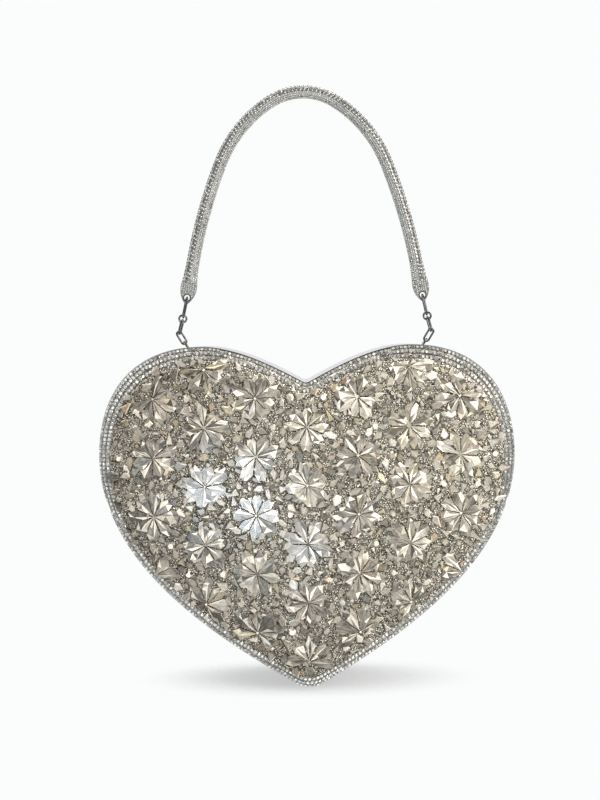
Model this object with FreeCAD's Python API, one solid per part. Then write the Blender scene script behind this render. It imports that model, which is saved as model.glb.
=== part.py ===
import FreeCAD, Part
import math
import os

V = FreeCAD.Vector
os.makedirs("parts", exist_ok=True)

# handle strap, hung from the underside of its crown at the origin
strap_radius = 3.4
sleeve_wall = 0.8
core_clearance = 0.05
crown_radius = 31.4
crown_turn = 33.2
shoulder_radius = 67.2
shoulder_turn = 35.2
leg_radius = 277.0
leg_turn = 11.3

# flattened strap ends, spade tabs and eyelets
flare_length = 9.0
flare_half_width = 4.0
flare_half_thickness = 1.5
tab_half_width = 4.15
tab_shoulder = 2.6
tab_length = 11.9
tab_thickness = 2.2
nose_run_share = 0.73
nose_half_width_share = 0.54
eyelet_from_nose = 3.8
eyelet_bore = 1.5
eyelet_wall = 0.45
eyelet_lip = 0.2
eyelet_clearance = 0.05

# chain of wire links from each eyelet down to the case
wire_radius = 0.53
wire_gap = 0.2
upper_link_span = 10.6
upper_link_lean = 12.0
upper_link_turn = 76.0
upper_link_bend = 2.2
ring_span = 3.8
ring_lean = 13.0
ring_turn = -15.0
lower_link_span = 7.4
lower_link_lean = 14.0
lower_link_turn = 68.0
lower_link_bend = 1.9
bail_span = 7.2
bail_lean = -31.0
bail_turn = 0.0
bail_bend = 1.3
apex_rise = 0.15

# lugs that carry the case
lug_hole = 1.02
lug_radius = 1.8
lug_thickness = 0.8
lug_tail = 6.0
lug_root = 5.0
lug_stand = 1.3
wire_in_lug = 0.2
lug_clearance = 0.35

# heart case
case_width = 207.0
case_height = 169.6
front_depth = 23.0
back_depth = 23.0
parting_gap = 0.4
front_wall = 1.4
back_wall = 1.8
lip_thickness = 1.0
lip_reach = 2.0
lip_root = 6.0

# domed panels on both faces of the case
panel_ledge = 0.7
panel_roll = 12.0
front_crown = 10.0
back_crown = 7.0
panel_wall = 2.2
spigot_clearance = 0.15
spigot_wall = 1.4
spigot_depth = 4.0

# lining trays
lining_clearance = 0.3
lining_wall = 0.8
lining_edge = 1.2
lining_floor_gap = 0.3

# rhinestone border band on the front roll
border_thickness = 0.9
border_seat = 0.05
border_start = 12.0
border_end = 62.0

# tip hinge
barrel_radius = 1.25
pin_radius = 0.6
pin_clearance = 0.05
knuckle_length = 3.0
knuckle_gap = 0.15
barrel_clearance = 0.12
saddle_half_width = 4.6
saddle_depth = 6.0
saddle_height = 2.2
saddle_gap = 0.25

# magnetic catch under the cleft
magnet_width = 12.0
magnet_depth = 5.0
magnet_height = 2.6
magnet_setback = 0.6
magnet_seat = 0.05
window_margin = 1.0

# flower crystals
flower_column = 25.1
flower_row = 28.7
flower_top_drop = 39.8
flower_columns = 4
flower_rows = 6
petals_per_flower = 8
petal_inner = 1.5
petal_reach = 12.0
petal_half_width = 3.1
petal_shoulder_half_width = 2.2
petal_width_share = 0.66
petal_shoulder_share = 0.92
petal_table_share = 0.82
petal_girdle = 1.3
petal_height = 2.1
field_margin = 12.4
centre_radius = 1.2
centre_height = 1.5
accent_radius = 2.6
accent_table_share = 0.5
accent_girdle = 0.5
accent_height = 1.9
accent_sides = 6
accent_margin = 15.6

half_width = case_width / 2
half_height = case_height / 2
half_gap = parting_gap / 2
lining_inset = back_wall + spigot_clearance + spigot_wall + lining_clearance
overrun = 2.0

# right half of the heart as shares of half width and height, cleft to tip
heart_shares = [
    [(0.0, 0.8922), (0.01, 0.8922), (0.02, 0.8956)],
    [(0.02, 0.8956), (0.135, 0.9342), (0.333, 1.0), (0.507, 1.0)],
    [(0.507, 1.0), (0.83, 1.0), (1.0, 0.8726), (1.0, 0.687)],
    [(1.0, 0.687), (1.0, 0.404), (0.572, 0.19), (0.0656, 0.0112)],
    [(0.0656, 0.0112), (0.036, 0.0), (0.0, 0.0)],
]
cleft_share = heart_shares[0][0][1]


def save(name, solids):
    shape = solids[0] if len(solids) == 1 else Part.makeCompound(solids)
    shape.exportStep("parts/%s.step" % name)


def mirrored(shape):
    return shape.mirror(V(0, 0, 0), V(1, 0, 0))


def annulus(center, direction, outer, inner):
    face = Part.Face(Part.Wire(Part.makeCircle(outer, center, direction)))
    if inner > 0:
        face = face.cut(Part.Face(Part.Wire(Part.makeCircle(inner, center, direction))))
    return face


def joined(solids):
    return solids[0].multiFuse(solids[1:]).removeSplitter()


# strap: three tangent arcs per side, heading measured from level
def strap_stations():
    heading = 0.0
    point = V(0, 0, strap_radius)
    stations = []
    for radius, turn in (
        (crown_radius, crown_turn),
        (shoulder_radius, shoulder_turn),
        (leg_radius, leg_turn),
    ):
        angle = math.radians(heading)
        center = point - V(math.sin(angle), 0, math.cos(angle)) * radius
        stations.append((point, heading, center, turn))
        heading += turn
        angle = math.radians(heading)
        point = center + V(math.sin(angle), 0, math.cos(angle)) * radius
    return stations, point, heading


stations, strap_end, strap_heading = strap_stations()
end_angle = math.radians(strap_heading)
end_along = V(math.cos(end_angle), 0, -math.sin(end_angle))
end_across = V(math.sin(end_angle), 0, math.cos(end_angle))


def strap_half(outer, inner):
    pieces = []
    for point, heading, center, turn in stations:
        angle = math.radians(heading)
        along = V(math.cos(angle), 0, -math.sin(angle))
        face = annulus(point, along, outer, inner)
        pieces.append(face.revolve(center, V(0, 1, 0), turn))
    return pieces


def placed(origin, across, depth, along):
    matrix = FreeCAD.Matrix(
        across.x, depth.x, along.x, origin.x,
        across.y, depth.y, along.y, origin.y,
        across.z, depth.z, along.z, origin.z,
        0, 0, 0, 1)
    return FreeCAD.Placement(matrix)


end_place = placed(strap_end, end_across * -1, V(0, 1, 0), end_along)


def flared_end():
    ellipse = Part.Ellipse(V(0, 0, flare_length), flare_half_width, flare_half_thickness)
    top = Part.Wire(Part.makeCircle(strap_radius, V(0, 0, 0), V(0, 0, 1)))
    flare = Part.makeLoft([top, Part.Wire(ellipse.toShape())], True)
    flare.Placement = end_place
    return flare


def spade_tab():
    start = flare_length
    shoulder = start + tab_shoulder
    nose = start + tab_length
    mid_run = shoulder + (nose - shoulder) * nose_run_share
    mid_half = tab_half_width * nose_half_width_share
    corners = [V(-tab_half_width, 0, shoulder), V(-flare_half_width, 0, start),
               V(flare_half_width, 0, start), V(tab_half_width, 0, shoulder)]
    edges = [Part.makeLine(a, b) for a, b in zip(corners, corners[1:])]
    edges.append(Part.Arc(corners[3], V(mid_half, 0, mid_run), V(0, 0, nose)).toShape())
    edges.append(Part.Arc(V(0, 0, nose), V(-mid_half, 0, mid_run), corners[0]).toShape())
    plate = Part.Face(Part.Wire(edges)).extrude(V(0, tab_thickness, 0))
    plate.translate(V(0, -tab_thickness / 2, 0))
    center = V(0, -tab_thickness, nose - eyelet_from_nose)
    hole = Part.makeCylinder(eyelet_bore + eyelet_wall + eyelet_clearance,
                             tab_thickness * 2, center, V(0, 1, 0))
    plate = plate.cut(hole)
    depth = tab_thickness + eyelet_lip * 2
    ring_at = V(0, -depth / 2, nose - eyelet_from_nose)
    ring = annulus(ring_at, V(0, 1, 0), eyelet_bore + eyelet_wall, eyelet_bore)
    ring = ring.extrude(V(0, depth, 0))
    plate.Placement = end_place
    ring.Placement = end_place
    return plate, ring


sleeve_half = strap_half(strap_radius, strap_radius - sleeve_wall) + [flared_end()]
core_half = strap_half(strap_radius - sleeve_wall - core_clearance, 0)
save("handle_sleeve", [joined(sleeve_half + [mirrored(s) for s in sleeve_half])])
save("handle_core", [joined(core_half + [mirrored(s) for s in core_half])])
tab, eyelet = spade_tab()
save("right_strap_tab", [tab])
save("left_strap_tab", [mirrored(tab)])
save("right_eyelet", [eyelet])
save("left_eyelet", [mirrored(eyelet)])

# chain: each wire loop runs from its top apex down along its lean
eyelet_center = strap_end + end_along * (flare_length + tab_length - eyelet_from_nose)


def down(lean):
    return V(math.sin(math.radians(lean)), 0, -math.cos(math.radians(lean)))


def level(lean, turn):
    side = V(math.cos(math.radians(lean)), 0, math.sin(math.radians(lean)))
    return side * math.cos(math.radians(turn)) + V(0, 1, 0) * math.sin(math.radians(turn))


def wire_loop(apex, span, lean, turn, bend):
    side = level(lean, turn)
    fall = down(lean)
    normal = side.cross(fall)
    top = apex + fall * bend
    bottom = apex + fall * (span - bend)
    run = bottom - top
    pieces = []
    for start, center in ((top + side * bend, top), (bottom - side * bend, bottom)):
        circle = annulus(start, fall, wire_radius, 0)
        pieces.append(circle.revolve(center, normal, -180))
    if run.Length > wire_gap:
        for sign in (-1, 1):
            circle = annulus(top + side * bend * sign, fall, wire_radius, 0)
            pieces.append(circle.extrude(run))
    return joined(pieces)


wire_step = wire_radius * 2 + wire_gap
ring_bend = ring_span / 2
chain = (
    ("upper_link", upper_link_span, upper_link_lean, upper_link_turn, upper_link_bend),
    ("ring", ring_span, ring_lean, ring_turn, ring_bend),
    ("lower_link", lower_link_span, lower_link_lean, lower_link_turn, lower_link_bend),
    ("bail", bail_span, bail_lean, bail_turn, bail_bend),
)
apex = eyelet_center + V(0, 0, apex_rise)
pivots = {"upper_link": apex + down(upper_link_lean) * upper_link_bend}
hung_lean = None
for name, span, lean, turn, bend in chain:
    if hung_lean is not None:
        middle = down((hung_lean + lean) / 2)
        pivots[name] = foot - middle * (wire_step / 2)
        apex = foot + middle * (bend - wire_step) - down(lean) * bend
    loop = wire_loop(apex, span, lean, turn, bend)
    save("right_" + name, [loop])
    save("left_" + name, [mirrored(loop)])
    foot = apex + down(lean) * span
    hung_lean = lean
pivots["case"] = foot
lug_center = foot + down(bail_lean) * wire_in_lug

case_top = lug_center.z - lug_stand
case_mid = case_top - half_height
case_tip = case_top - case_height


# heart outline drawn in by an inset, on a plane of constant depth
def heart_wire(inset, y):
    wide = half_width - inset
    tall = half_height - inset

    def at(share_x, share_z):
        return V(share_x * wide, y, case_mid + (share_z * 2 - 1) * tall)

    edges = []
    for poles in heart_shares:
        curve = Part.BezierCurve()
        curve.setPoles([at(x, z) for x, z in poles])
        edges.append(curve.toShape())
    for poles in reversed(heart_shares):
        curve = Part.BezierCurve()
        curve.setPoles([at(-x, z) for x, z in reversed(poles)])
        edges.append(curve.toShape())
    return Part.Wire(edges)


def heart_prism(inset, y_from, y_to):
    return Part.Face(heart_wire(inset, y_from)).extrude(V(0, y_to - y_from, 0))


def heart_ring(outer, inner, y_from, y_to):
    low = min(y_from, y_to)
    high = max(y_from, y_to)
    return heart_prism(outer, low, high).cut(heart_prism(inner, low - overrun, high + overrun))


# roll of a panel: a quarter ellipse from the ledge up to the flat plateau
def roll_solid(ledge, roll, crown, base, side, turns):
    wires = []
    for turn in turns:
        angle = math.radians(turn)
        inset = ledge + roll * (1 - math.cos(angle))
        wires.append(heart_wire(inset, base + side * crown * math.sin(angle)))
    return Part.makeLoft(wires, True, False)


roll_turns = (0, 22.5, 45, 67.5, 90)


def panel(crown, base, side, wall):
    dome = roll_solid(panel_ledge, panel_roll, crown, base, side, roll_turns)
    outer = wall + spigot_clearance
    inner = outer + spigot_wall
    spigot = heart_ring(outer, inner, base - side * spigot_depth, base)
    hollow = roll_solid(inner, panel_ledge + panel_roll - inner + panel_wall / 2,
                        crown - panel_wall, base, side, roll_turns)
    bore = heart_prism(inner, base - side * overrun, base)
    return dome.fuse(spigot).cut(hollow.fuse(bore))


def magnet(side, wall):
    near = half_gap + magnet_setback
    ends = sorted((side * near, side * (near + magnet_depth)))
    top = case_mid + (cleft_share * 2 - 1) * half_height
    block = Part.makeBox(magnet_width, magnet_depth, magnet_height * 2,
                         V(-magnet_width / 2, ends[0], top - magnet_height * 2))
    return block.common(heart_prism(wall + magnet_seat, ends[0] - overrun, ends[1] + overrun))


def lining(side, depth):
    edge = side * (half_gap + lining_edge)
    floor = side * (depth - lining_floor_gap)
    tray = heart_ring(lining_inset, lining_inset + lining_wall, edge, floor)
    card = heart_prism(lining_inset, floor - side * lining_wall, floor)
    catch = magnet(side, 0).BoundBox
    window = Part.makeBox(catch.XLength + window_margin * 2, catch.YLength + window_margin * 2,
                          catch.ZLength + window_margin * 2,
                          V(catch.XMin, catch.YMin, catch.ZMin) - V(1, 1, 1) * window_margin)
    return tray.fuse(card).removeSplitter().cut(window)


front_frame = heart_ring(0, front_wall, -front_depth, -half_gap)
catch_box = magnet(1, 0).BoundBox
lip = heart_ring(back_wall, back_wall + lip_thickness, -lip_reach, lip_root)
lip = lip.cut(Part.makeBox(catch_box.XLength + window_margin * 2, (lip_reach + lip_root) * 2,
                           case_height,
                           V(catch_box.XMin - window_margin, -lip_reach - lip_root, case_mid)))
back_frame = heart_ring(0, back_wall, half_gap, back_depth).fuse(lip).removeSplitter()
save("front_frame", [front_frame])
save("back_frame", [back_frame])
save("front_panel", [panel(front_crown, -front_depth, -1, front_wall)])
save("back_panel", [panel(back_crown, back_depth, 1, back_wall)])
save("front_lining", [lining(-1, front_depth)])
save("back_lining", [lining(1, back_depth)])
save("front_magnet", [magnet(-1, front_wall)])
save("back_magnet", [magnet(1, back_wall)])

# border band over the outer part of the front roll
border_turns = [border_start + (border_end - border_start) * step / 3 for step in range(4)]
border = roll_solid(panel_ledge - border_thickness, panel_roll + border_thickness,
                    front_crown + border_thickness, -front_depth, -1, border_turns)
border_inner = panel_ledge + panel_roll - panel_roll * math.cos(math.radians(border_end))
border = border.cut(roll_solid(panel_ledge - border_seat, panel_roll + border_seat,
                               front_crown + border_seat, -front_depth, -1, roll_turns))
border = border.cut(heart_prism(border_inner, -front_depth - front_crown * 2, 0))
save("border_band", [border])


# lugs lean with the bails and are scribed to the top of the back frame
def lug():
    fall = down(bail_lean)
    side = level(bail_lean, 0)
    place = placed(lug_center + side * (lug_thickness / 2), V(0, 1, 0), fall, side * -1)
    disc = Part.makeCylinder(lug_radius, lug_thickness)
    foot_plate = Part.makeBox(lug_radius + lug_tail, lug_root, lug_thickness,
                              V(-lug_radius, 0, 0))
    plate = disc.fuse(foot_plate).cut(Part.makeCylinder(lug_hole, lug_thickness))
    plate.Placement = place
    plate = plate.cut(heart_prism(0, half_gap, back_depth))
    plate = plate.cut(heart_prism(-lug_clearance, -front_depth, half_gap))
    return plate


right_lug = lug()
save("right_lug", [right_lug])
save("left_lug", [mirrored(right_lug)])

# hinge under the tip: barrel along X on the parting plane
hinge_z = case_tip - barrel_radius - barrel_clearance
barrel_half = knuckle_length * 1.5 + knuckle_gap


def knuckle(x_from, x_to):
    return annulus(V(x_from, 0, hinge_z), V(1, 0, 0), barrel_radius,
                   pin_radius + pin_clearance).extrude(V(x_to - x_from, 0, 0))


def saddle(side, spans):
    ends = sorted((side * saddle_gap, side * saddle_depth))
    block = Part.makeBox(saddle_half_width * 2, ends[1] - ends[0],
                         saddle_height + barrel_radius,
                         V(-saddle_half_width, ends[0], case_tip - barrel_radius))
    block = block.cut(heart_prism(0, -front_depth, back_depth))
    room = barrel_radius + saddle_gap
    block = block.cut(Part.makeCylinder(room, saddle_half_width * 4,
                                        V(-saddle_half_width * 2, 0, hinge_z), V(1, 0, 0)))
    pieces = [block]
    for x_from, x_to in spans:
        bridge = Part.makeBox(x_to - x_from, room, barrel_radius,
                              V(x_from, min(0, side * room), case_tip - barrel_radius))
        bridge = bridge.cut(heart_prism(-barrel_clearance, -front_depth, back_depth))
        pieces.append(bridge)
        pieces.append(knuckle(x_from, x_to))
    leaf = joined(pieces)
    return leaf.cut(Part.makeCylinder(pin_radius + pin_clearance, barrel_half * 2,
                                      V(-barrel_half, 0, hinge_z), V(1, 0, 0)))


inner_end = knuckle_length / 2
outer_start = inner_end + knuckle_gap
save("back_hinge_leaf", [saddle(1, [(-inner_end, inner_end)])])
save("front_hinge_leaf", [saddle(-1, [(-barrel_half, -outer_start), (outer_start, barrel_half)])])
save("hinge_pin", [Part.makeCylinder(pin_radius, barrel_half * 2, V(-barrel_half, 0, hinge_z),
                                     V(1, 0, 0))])
pivots["lid"] = V(0, 0, hinge_z)


# stones: a closed facet solid from rings of points that end in a peak or a table
def facet_solid(rings, peak):
    faces = [Part.Face(Part.makePolygon(rings[0] + rings[0][:1]))]
    for low, high in zip(rings, rings[1:]):
        for i in range(len(low)):
            j = (i + 1) % len(low)
            faces.append(Part.Face(Part.makePolygon([low[i], low[j], high[j], high[i], low[i]])))
    top = rings[-1]
    if peak is None:
        faces.append(Part.Face(Part.makePolygon(top + top[:1])))
    else:
        for i in range(len(top)):
            j = (i + 1) % len(top)
            faces.append(Part.Face(Part.makePolygon([top[i], top[j], peak, top[i]])))
    solid = Part.Solid(Part.makeShell(faces))
    if solid.Volume < 0:
        solid.reverse()
    return solid


plateau_y = -front_depth - front_crown
field = Part.Face(heart_wire(field_margin, plateau_y))
accent_field = Part.Face(heart_wire(accent_margin, plateau_y))


def on_plateau(x, z, height):
    return V(x, plateau_y - height, z)


def petal_outline(center, angle, share):
    run = petal_reach * petal_width_share
    pattern = [
        (petal_inner, 0),
        (run, petal_half_width),
        (petal_reach * petal_shoulder_share, petal_shoulder_half_width),
        (petal_reach, 0),
        (petal_reach * petal_shoulder_share, -petal_shoulder_half_width),
        (run, -petal_half_width),
    ]
    c = math.cos(angle)
    s = math.sin(angle)
    drawn = [(run + (r - run) * share, w * share) for r, w in pattern]
    return [(center[0] + r * c - w * s, center[1] + r * s + w * c) for r, w in drawn]


def petal(center, angle):
    outline = petal_outline(center, angle, 1)
    base = [on_plateau(x, z, 0) for x, z in outline]
    if not all(field.isInside(p, half_gap, True) for p in base):
        return None
    girdle = [on_plateau(x, z, petal_girdle) for x, z in outline]
    inner = petal_outline(center, angle, petal_table_share)
    table = [on_plateau(x, z, petal_height) for x, z in inner]
    return facet_solid([base, girdle, table], None)


def ring_points(center, radius, sides, height):
    points = []
    for i in range(sides):
        angle = math.pi * 2 * i / sides
        points.append(on_plateau(center[0] + radius * math.cos(angle),
                                 center[1] + radius * math.sin(angle), height))
    return points


def accent(center):
    if not accent_field.isInside(on_plateau(center[0], center[1], 0), half_gap, True):
        return None
    base = ring_points(center, accent_radius, accent_sides, 0)
    girdle = ring_points(center, accent_radius, accent_sides, accent_girdle)
    table = ring_points(center, accent_radius * accent_table_share, accent_sides, accent_height)
    return facet_solid([base, girdle, table], None)


petals = []
centres = []
accents = []
for column in range(-flower_columns, flower_columns + 1):
    x = column * flower_column
    shift = flower_row / 2 if column % 2 else 0
    for row in range(-1, flower_rows):
        center = (x, case_top - flower_top_drop + shift - row * flower_row)
        found = []
        for i in range(petals_per_flower):
            found.append(petal(center, math.pi * 2 * i / petals_per_flower))
        whole = [p for p in found if p]
        if len(whole) > 2:
            petals += whole
        if len(whole) == petals_per_flower:
            base = ring_points(center, centre_radius, accent_sides, 0)
            peak = on_plateau(center[0], center[1], centre_height)
            centres.append(facet_solid([base], peak))
        for sign in (-1, 1):
            third = flower_column * 2 / 3
            stone = accent((center[0] + sign * third, center[1]))
            if stone:
                accents.append(stone)
save("flower_crystals", petals)
save("flower_centres", centres)
save("accent_stones", accents)
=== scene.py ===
import math

import bpy
import numpy as np
from mathutils import Matrix, Vector


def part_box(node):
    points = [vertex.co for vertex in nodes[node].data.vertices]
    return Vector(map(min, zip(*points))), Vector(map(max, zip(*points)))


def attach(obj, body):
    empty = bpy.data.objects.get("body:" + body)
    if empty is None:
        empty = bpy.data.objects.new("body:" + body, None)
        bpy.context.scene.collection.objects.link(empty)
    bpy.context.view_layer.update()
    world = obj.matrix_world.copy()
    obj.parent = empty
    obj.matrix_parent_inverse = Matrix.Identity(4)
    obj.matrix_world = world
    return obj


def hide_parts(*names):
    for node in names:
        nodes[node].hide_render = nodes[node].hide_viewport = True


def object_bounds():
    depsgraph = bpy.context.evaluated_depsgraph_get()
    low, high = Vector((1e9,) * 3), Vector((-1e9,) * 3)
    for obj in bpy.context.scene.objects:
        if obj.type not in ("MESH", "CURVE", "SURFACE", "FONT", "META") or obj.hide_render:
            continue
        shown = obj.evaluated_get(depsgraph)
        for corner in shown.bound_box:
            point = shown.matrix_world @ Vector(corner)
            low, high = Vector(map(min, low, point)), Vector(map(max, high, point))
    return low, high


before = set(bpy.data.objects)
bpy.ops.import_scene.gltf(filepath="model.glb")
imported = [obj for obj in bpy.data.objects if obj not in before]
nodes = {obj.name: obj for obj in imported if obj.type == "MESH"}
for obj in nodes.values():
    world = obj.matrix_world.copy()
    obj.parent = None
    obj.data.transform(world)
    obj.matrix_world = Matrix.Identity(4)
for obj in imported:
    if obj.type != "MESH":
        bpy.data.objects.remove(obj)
cadLow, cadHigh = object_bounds()
mm = 0.001
print("frame loaded")

rimLow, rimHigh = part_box("front_frame")
shellLow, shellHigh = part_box("front_panel")
heart = {
    "halfWide": rimHigh.x,
    "halfTall": (rimHigh.z - rimLow.z) / 2,
    "mid": (rimHigh.z + rimLow.z) / 2,
    "top": rimHigh.z,
    "edge": rimLow.y,
    "crown": rimLow.y - shellLow.y,
    "ledge": rimHigh.x - shellHigh.x,
    "roll": 12.0 * mm,
    "deepest": 30.0 * mm,
    "curves": [
        [(0, 0.8922), (0.01, 0.8922), (0.02, 0.8956)],
        [(0.02, 0.8956), (0.135, 0.9342), (0.333, 1), (0.507, 1)],
        [(0.507, 1), (0.83, 1), (1, 0.8726), (1, 0.687)],
        [(1, 0.687), (1, 0.404), (0.572, 0.19), (0.0656, 0.0112)],
        [(0.0656, 0.0112), (0.036, 0), (0, 0)],
    ],
}
forward = np.array([0.0, -1.0, 0.0])  # out of the front, towards the eye


def unit(v):
    # each vector over its own length
    return v / np.linalg.norm(v, axis=-1, keepdims=True)


def bezier(poles, count):
    # repeated straight mixes of neighbouring poles, down to one point per step
    t = np.linspace(0, 1, count)[:, None]
    rows = [np.tile(np.array(p, float), (count, 1)) for p in poles]
    while len(rows) > 1:
        rows = [a * (1 - t) + b * t for a, b in zip(rows, rows[1:])]
    return rows[0]


halfShares = np.vstack([bezier(c, 120)[:-1] for c in heart["curves"]] + [[(0, 0)]])
halfUnit = np.column_stack([halfShares[:, 0], halfShares[:, 1] * 2 - 1])
polarAngle = np.arctan2(halfUnit[::-1, 1], halfUnit[::-1, 0])
polarReach = np.hypot(halfUnit[::-1, 0], halfUnit[::-1, 1])


def heartLoop(inset, pitch=None, count=None):
    # the heart drawn smaller by the inset on each side, in even steps along its length
    right = halfUnit * (heart["halfWide"] - inset, heart["halfTall"] - inset)
    loop = np.vstack([right, right[-2:0:-1] * (-1, 1), right[:1]])
    run = np.concatenate([[0], np.cumsum(np.hypot(*np.diff(loop, axis=0).T))])
    count = count or int(round(run[-1] / pitch))
    at = (np.arange(count) + 0.5) / count * run[-1]
    x = np.interp(at, run, loop[:, 0])
    z = np.interp(at, run, loop[:, 1])
    ahead = np.interp((at + 0.2 * mm) % run[-1], run, loop[:, 0]) - x
    climb = np.interp((at + 0.2 * mm) % run[-1], run, loop[:, 1]) - z
    along = unit(np.column_stack([ahead, np.zeros(count), climb]))
    out = np.column_stack([-along[:, 2], np.zeros(count), along[:, 0]])
    return np.column_stack([x, np.zeros(count), z + heart["mid"]]), along, out


def panelInset(x, z):
    # the inset of the heart that runs through each point, by halving
    low = np.zeros_like(x)
    high = np.full_like(x, heart["deepest"])
    for _ in range(26):  # halvings, down to less than a nanometre
        mid = (low + high) / 2
        across = np.abs(x) / (heart["halfWide"] - mid)
        up = (z - heart["mid"]) / (heart["halfTall"] - mid)
        outside = np.hypot(across, up) > np.interp(np.arctan2(up, across), polarAngle, polarReach)
        high = np.where(outside, mid, high)
        low = np.where(outside, low, mid)
    return low


def panelDepth(x, z):
    # quarter ellipse from the rim up to the flat plateau
    rise = np.clip((panelInset(x, z) - heart["ledge"]) / heart["roll"], 0, 1)
    return heart["edge"] - heart["crown"] * np.sqrt(1 - (1 - rise) ** 2)


def panelFrames(x, z, angle, tilt=0.0, seed=1):
    # place, direction, side and normal on the panel, from differences of its depth
    e = 0.3 * mm
    slopeX = (panelDepth(x + e, z) - panelDepth(x - e, z)) / (2 * e)
    slopeZ = (panelDepth(x, z + e) - panelDepth(x, z - e)) / (2 * e)
    normal = unit(np.column_stack([slopeX, -np.ones_like(x), slopeZ]))
    normal = unit(normal + np.random.default_rng(seed).normal(0, 1, normal.shape) * tilt)
    aim = np.column_stack([np.cos(angle), np.zeros_like(x), np.sin(angle)])
    aim = unit(aim - normal * np.sum(aim * normal, axis=1, keepdims=True))
    return np.column_stack([x, panelDepth(x, z), z]), aim, np.cross(normal, aim), normal


def cutStone(sides, table, girdle, start=0.0, kite=0.0):
    # girdle ring, crown facets up to a table, skirt down to the seat; a kite is drawn out to one end
    turn = (np.arange(sides) + start) / sides * 2 * np.pi
    ring = np.column_stack([np.cos(turn) + kite * np.cos(turn) ** 2, np.sin(turn)])
    low = np.column_stack([ring * 0.92, np.zeros(sides)])
    belt = np.column_stack([ring, np.full(sides, girdle)])
    top = np.column_stack([ring * table, np.ones(sides)])
    after = (np.arange(sides) + 1) % sides
    first = np.arange(sides)
    crown = [(sides + a, sides + b, 2 * sides + b, 2 * sides + a) for a, b in zip(first, after)]
    skirt = [(a, b, sides + b, sides + a) for a, b in zip(first, after)]
    return {"points": np.vstack([low, belt, top]), "crown": len(crown) + 1,
            "faces": [tuple(range(2 * sides, 3 * sides))] + crown + skirt}


petalCut = {
    "points": np.array([(0.04, 0, 1), (0.5, -0.3, 1), (0.5, 0.3, 1), (0.8, 0, 1), (0.65, -1, 1),
                        (0.65, 1, 1), (0.97, -0.56, 1), (0.97, 0.56, 1), (0.89, 0, 1), (0.04, 0, 0),
                        (0.65, -1, 0), (0.97, -0.56, 0), (0.89, 0, 0), (0.97, 0.56, 0), (0.65, 1, 0),
                        (0.357, -0.52, 1), (0.357, 0.52, 1)]),
    "faces": [(0, 1, 3), (0, 3, 2), (0, 15, 1), (0, 2, 16), (1, 4, 3), (2, 3, 5), (4, 6, 3), (3, 7, 5),
              (3, 6, 8), (3, 8, 7), (15, 4, 1), (16, 2, 5),
              (9, 10, 4, 0), (10, 11, 6, 4), (11, 12, 8, 6), (12, 13, 7, 8), (13, 14, 5, 7), (14, 9, 0, 5)],
    "crown": 12,
}


def setStones(name, cut, frames, size, tone, hue):
    # one mesh of many equal stones: each cut point laid out along its stone's own frame
    place, aim, side, normal = frames
    shape = np.broadcast_to(cut["points"], (len(place),) + cut["points"].shape[-2:])
    count, each = shape.shape[:2]
    spread = shape * size[:, None, :]
    points = (place[:, None] + spread[..., 0:1] * aim[:, None] + spread[..., 1:2] * side[:, None]
              + spread[..., 2:3] * normal[:, None]).reshape(-1, 3)
    corners = np.concatenate([np.array(f) for f in cut["faces"]])
    lengths = np.array([len(f) for f in cut["faces"]])
    loops = (corners[None] + each * np.arange(count)[:, None]).ravel()
    starts = np.concatenate([[0], np.cumsum(np.tile(lengths, count))[:-1]])
    mesh = bpy.data.meshes.new(name)
    mesh.vertices.add(len(points))
    mesh.vertices.foreach_set("co", points.ravel())
    mesh.loops.add(len(loops))
    mesh.loops.foreach_set("vertex_index", loops.astype(np.int32))
    mesh.polygons.add(len(starts))
    mesh.polygons.foreach_set("loop_start", starts.astype(np.int32))
    mesh.polygons.foreach_set("use_smooth", np.zeros(len(starts), bool))
    mesh.update(calc_edges=True)
    for key, values in (("facetTone", tone), ("facetHue", hue)):
        layer = mesh.attributes.new(key, "FLOAT", "FACE")
        layer.data.foreach_set("value", values.astype(np.float32).ravel())
    cutUv = mesh.uv_layers.new(name="cutUv")
    patch = np.repeat(np.arange(count), len(corners))[:, None] * 3.7  # each stone has its own patch of noise
    flat = shape[:, corners, :2].reshape(-1, 2) + patch
    cutUv.data.foreach_set("uv", flat.astype(np.float32).ravel())
    made = bpy.data.objects.new(name, mesh)
    bpy.context.scene.collection.objects.link(made)
    return made


def facets(rng, count, cut, look):
    # tone of every facet, as painted reflections and glints: a share of dark and white ones among greys;
    # crown facets can be dropped below the table and skirts are kept dim as painted shade
    faces = len(cut["faces"])
    tone = rng.normal(look["grey"], look["spread"], (count, faces))
    pick = rng.random((count, faces))
    tone = np.where(pick < look["dark"], rng.uniform(0.0, 0.2, tone.shape), tone)
    tone = np.where(pick > 1 - look["white"], rng.uniform(0.86, 1.0, tone.shape), tone)
    tone[:, 1:cut["crown"]] -= look.get("drop", 0)
    tone[:, cut["crown"]:] = rng.uniform(0.1, 0.4, (count, faces - cut["crown"]))
    hue = np.repeat(rng.random((count, 1)), faces, axis=1) * 0.5 + rng.random((count, faces)) * 0.5
    return np.clip(tone, 0, 1), 0.47 + (hue - 0.5) * look["tint"]


roomTone = {"base": 0.02, "right": 0.145, "up": 0.08}


def roomShade(x, z):
    # painted light and shade: the room is brighter to the right and above, painted as a tone that climbs
    # evenly across the heart
    across = roomTone["right"] * x / heart["halfWide"]
    return roomTone["base"] + across + roomTone["up"] * (z - heart["mid"]) / heart["halfTall"]


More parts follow.
